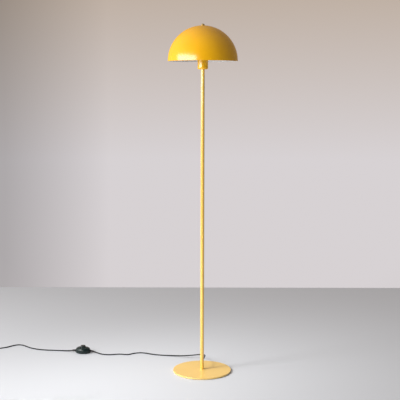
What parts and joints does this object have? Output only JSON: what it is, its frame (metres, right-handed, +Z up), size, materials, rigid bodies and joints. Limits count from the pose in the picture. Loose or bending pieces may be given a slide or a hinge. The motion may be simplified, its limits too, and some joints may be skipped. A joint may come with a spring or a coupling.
{
  "type": "mushroom floor lamp",
  "caption": "Slender floor lamp with a flat round base, a thin pole, a half-round metal dome shade, a turned knob on its crown and a foot switch in its cord.",
  "frame": {"origin": "on the floor under the centre of the round base", "axes": "+Z up along the pole; the cord leaves the pole low at the rear, +Y; the foot switch and plug lie to the left, -X, of a viewer who faces +Y"},
  "size_m": [1.2117, 0.535, 1.4991],
  "materials": {
    "yellow_paint": "satin",
    "shade_paint": "satin, white inside",
    "bracket_paint": "white satin",
    "finial_brass": "turned, lacquered",
    "contact_brass": "plain",
    "pad_foam": "matte",
    "zinc_steel": "zinc plated",
    "holder_plastic": "semi-matte",
    "block_ceramic": "plain",
    "bulb_metal": "plain",
    "bulb_glass": "opal",
    "cord_sheath": "matte",
    "black_rubber": "matte",
    "black_plastic": "satin",
    "pin_nickel": "bright nickel"
  },
  "bodies": {
    "lamp": {"base_plate": "yellow_paint", "pole_lower": "yellow_paint", "pole_upper": "yellow_paint", "holder_cup": "yellow_paint", "shade": "shade_paint", "shade_bracket": "bracket_paint", "centre_contact": "contact_brass", "side_contacts": "contact_brass", "switch_terminals": "contact_brass", "base_pad": "pad_foam", "base_screw": "zinc_steel", "foot_insert": "zinc_steel", "lower_collar": "zinc_steel", "joint_nipple": "zinc_steel", "upper_collar": "zinc_steel", "top_collar": "zinc_steel", "top_nipple": "zinc_steel", "cup_washer": "zinc_steel", "bracket_stud": "zinc_steel", "crown_washer": "zinc_steel", "switch_screws": "zinc_steel", "clamp_screws": "zinc_steel", "button_spring": "zinc_steel", "holder_cap": "holder_plastic", "holder_skirt": "holder_plastic", "shade_ring": "holder_plastic", "contact_block": "block_ceramic", "switch_block": "block_ceramic", "bulb_cap": "bulb_metal", "bulb_glass": "bulb_glass", "inner_lead": "cord_sheath", "switch_tails": "cord_sheath", "cord_to_switch": "cord_sheath", "cord_to_coil": "cord_sheath", "cord_coil": "cord_sheath", "cord_to_plug": "cord_sheath", "cord_bushing": "black_rubber", "sleeve_lamp_side": "black_rubber", "sleeve_plug_side": "black_rubber", "switch_feet": "black_rubber", "switch_base": "black_plastic", "switch_cover": "black_plastic", "cord_clamps": "black_plastic", "plug_body": "black_plastic", "plug_pins": "pin_nickel"},
    "finial": {"finial": "finial_brass"},
    "switch_button": {"switch_button": "black_plastic"}
  },
  "joints": [
    {"name": "finial_turn", "type": "hinge", "parent": "lamp", "child": "finial", "pos_m": [0, 0, 1.495], "axis": [0, 0, 1], "continuous": true},
    {"name": "switch_press", "type": "slide", "parent": "lamp", "child": "switch_button", "axis": [0, 0, -1], "range_m": [0, 0.003], "stiffness_N_per_m": 600, "springref_m": -0.004, "deforming": ["button_spring"]}
  ]
}
